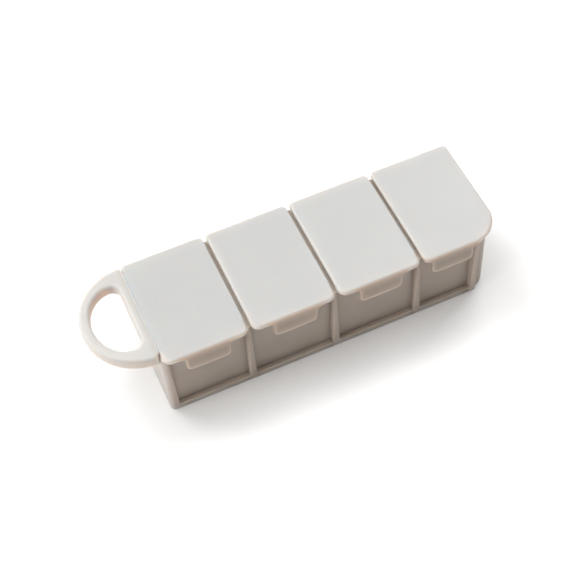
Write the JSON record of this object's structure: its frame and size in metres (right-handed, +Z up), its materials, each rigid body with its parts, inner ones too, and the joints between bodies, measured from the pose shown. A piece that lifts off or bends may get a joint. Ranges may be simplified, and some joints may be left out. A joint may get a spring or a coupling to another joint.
{
  "type": "travel pill organizer",
  "caption": "Slim travel pill organizer: a moulded tray of compartments in a row, each under its own snap lid with a thumb tab, with a D-shaped hanging ring at one end.",
  "frame": {"origin": "under the middle of the whole organizer, hanging ring included, on the surface that it rests on", "axes": "+X along the row of lids from the hanging ring to the rounded end, +Y from the thumb tabs to the hinges, +Z up"},
  "size_m": [0.115, 0.0346, 0.0275],
  "materials": {
    "tray_plastic": "satin moulded polypropylene, warm light grey, slightly translucent",
    "lid_plastic": "satin moulded polypropylene, light grey, slightly translucent at its edges",
    "rod_steel": "drawn wire"
  },
  "bodies": {
    "base": {"tray": "tray_plastic", "hinge_rod": "rod_steel"},
    "lid_1": {"lid_1": "lid_plastic"},
    "lid_2": {"lid_2": "lid_plastic"},
    "lid_3": {"lid_3": "lid_plastic"},
    "lid_4": {"lid_4": "lid_plastic"}
  },
  "joints": [
    {"name": "lid_1_hinge", "type": "hinge", "parent": "base", "child": "lid_1", "pos_m": [-0.02875, 0.015, 0.0235], "axis": [-1, 0, 0], "range_deg": [0, 115]},
    {"name": "lid_2_hinge", "type": "hinge", "parent": "base", "child": "lid_2", "pos_m": [-0.00447, 0.015, 0.0235], "axis": [-1, 0, 0], "range_deg": [0, 115]},
    {"name": "lid_3_hinge", "type": "hinge", "parent": "base", "child": "lid_3", "pos_m": [0.02053, 0.015, 0.0235], "axis": [-1, 0, 0], "range_deg": [0, 115]},
    {"name": "lid_4_hinge", "type": "hinge", "parent": "base", "child": "lid_4", "pos_m": [0.04445, 0.015, 0.0235], "axis": [-1, 0, 0], "range_deg": [0, 115]}
  ]
}
